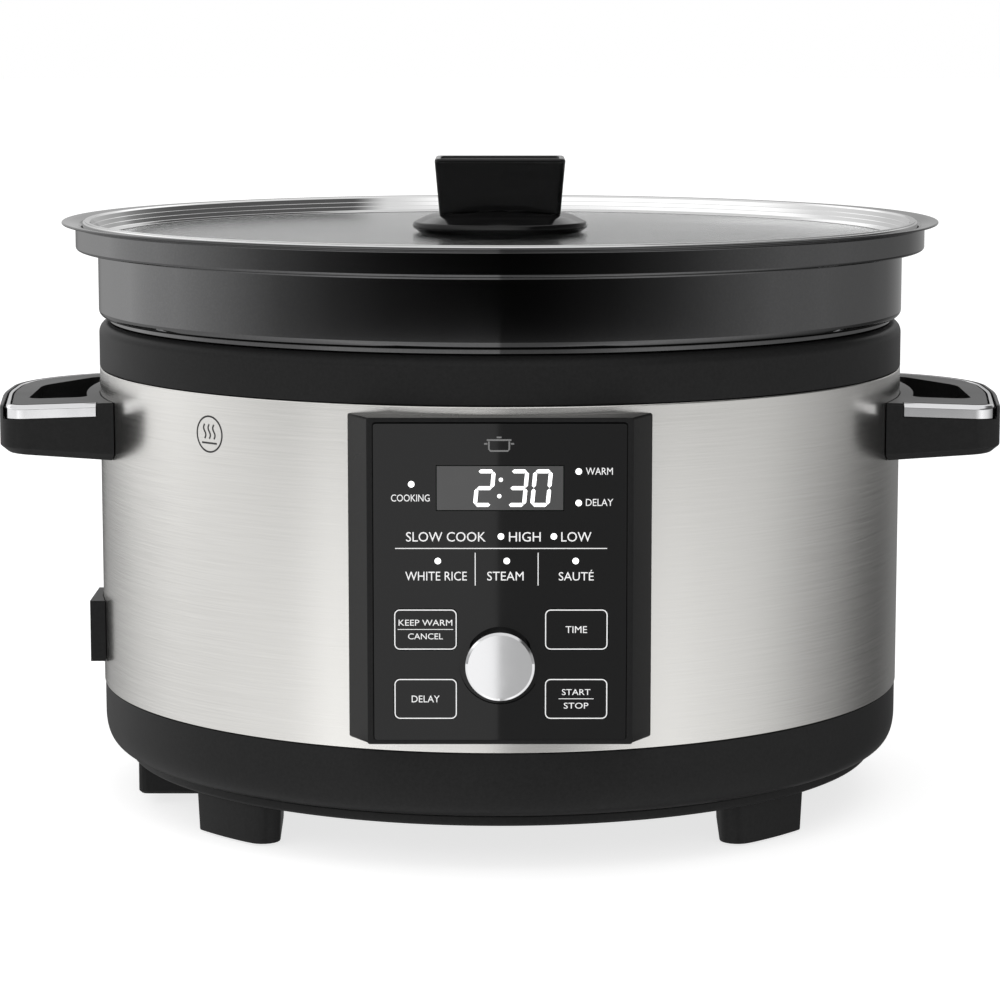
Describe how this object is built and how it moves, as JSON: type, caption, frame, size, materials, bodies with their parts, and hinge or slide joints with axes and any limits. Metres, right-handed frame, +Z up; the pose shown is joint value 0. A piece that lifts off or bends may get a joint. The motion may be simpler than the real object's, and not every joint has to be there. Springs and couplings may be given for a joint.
{
  "type": "slow cooker",
  "caption": "Round electric slow cooker with a steel-clad housing, flat control panel with dial and buttons, lift-out coated pot and framed glass lid.",
  "frame": {"origin": "on the pot's axis, at the surface the foot pads stand on", "axes": "+X to the cooker's right seen by the user, through the side handles; -Y towards the user, where the control panel is; +Z up"},
  "size_m": [0.3738, 0.3268, 0.2378],
  "materials": {
    "housing_plastic": "fine satin moulded black",
    "handle_plastic": "satin moulded black",
    "rubber": "matt black rubber",
    "brushed_steel": "horizontally brushed, warm grey",
    "bright_trim": "polished bright",
    "plain_metal": "plain mill finish",
    "fasteners": "zinc plated",
    "contacts": "plated brass",
    "circuit_board": "green solder mask",
    "small_components": "moulded cases",
    "panel_plastic": "satin black",
    "panel_gloss": "gloss black",
    "smoked_window": "smoked display window",
    "dial_metal": "bright turned face",
    "pot_coating": "dark grey non-stick coating, semi-gloss",
    "glass": "clear tempered glass",
    "knob_plastic": "glossy black"
  },
  "bodies": {
    "housing": {"base_pan": "housing_plastic", "base_screw_1": "fasteners", "base_screw_2": "fasteners", "base_screw_3": "fasteners", "base_screw_4": "fasteners", "bottom_cover": "housing_plastic", "control_board": "circuit_board", "control_plate": "panel_gloss", "display_module": "small_components", "display_window": "smoked_window", "encoder_body": "plain_metal", "foot_front_left": "housing_plastic", "foot_front_right": "housing_plastic", "foot_pad_front_left": "rubber", "foot_pad_front_right": "rubber", "foot_pad_rear_left": "rubber", "foot_pad_rear_right": "rubber", "foot_rear_left": "housing_plastic", "foot_rear_right": "housing_plastic", "handle_left": "handle_plastic", "handle_right": "handle_plastic", "handle_screw_left_front": "fasteners", "handle_screw_left_rear": "fasteners", "handle_screw_right_front": "fasteners", "handle_screw_right_rear": "fasteners", "handle_trim_left": "bright_trim", "handle_trim_right": "bright_trim", "heat_shield": "plain_metal", "heater_element": "plain_metal", "heater_relay": "small_components", "heating_plate": "plain_metal", "heating_well": "plain_metal", "inlet_pin_earth": "contacts", "inlet_pin_live": "contacts", "inlet_pin_neutral": "contacts", "mains_inlet": "housing_plastic", "panel_bezel": "panel_plastic", "power_board": "circuit_board", "steel_shell": "brushed_steel", "switch_delay": "small_components", "switch_keep_warm": "small_components", "switch_start": "small_components", "switch_time": "small_components", "temperature_sensor": "plain_metal", "thermal_fuse": "plain_metal", "top_collar": "housing_plastic", "wiring_cover": "housing_plastic"},
    "pot": {"cooking_pot": "pot_coating"},
    "lid": {"lid_glass": "glass", "lid_rim": "bright_trim", "knob_base": "knob_plastic", "knob_grip": "knob_plastic", "knob_screw": "fasteners", "knob_washer": "rubber"},
    "dial": {"selector_dial": "dial_metal", "encoder_shaft": "plain_metal"},
    "keep_warm_button": {"button_keep_warm": "panel_gloss"},
    "time_button": {"button_time": "panel_gloss"},
    "delay_button": {"button_delay": "panel_gloss"},
    "start_button": {"button_start": "panel_gloss"}
  },
  "joints": [
    {"name": "pot_lift", "type": "slide", "parent": "housing", "child": "pot", "axis": [0, 0, 1], "range_m": [0, 0.16]},
    {"name": "lid_lift", "type": "slide", "parent": "pot", "child": "lid", "axis": [0, 0, 1], "range_m": [0, 0.1]},
    {"name": "dial_turn", "type": "hinge", "parent": "housing", "child": "dial", "pos_m": [0, -0.154, 0.0746], "axis": [0, -1, 0], "continuous": true},
    {"name": "keep_warm_press", "type": "slide", "parent": "housing", "child": "keep_warm_button", "axis": [0, 1, 0], "range_m": [0, 0.0006], "stiffness_N_per_m": 2500},
    {"name": "time_press", "type": "slide", "parent": "housing", "child": "time_button", "axis": [0, 1, 0], "range_m": [0, 0.0006], "stiffness_N_per_m": 2500},
    {"name": "delay_press", "type": "slide", "parent": "housing", "child": "delay_button", "axis": [0, 1, 0], "range_m": [0, 0.0006], "stiffness_N_per_m": 2500},
    {"name": "start_press", "type": "slide", "parent": "housing", "child": "start_button", "axis": [0, 1, 0], "range_m": [0, 0.0006], "stiffness_N_per_m": 2500}
  ]
}
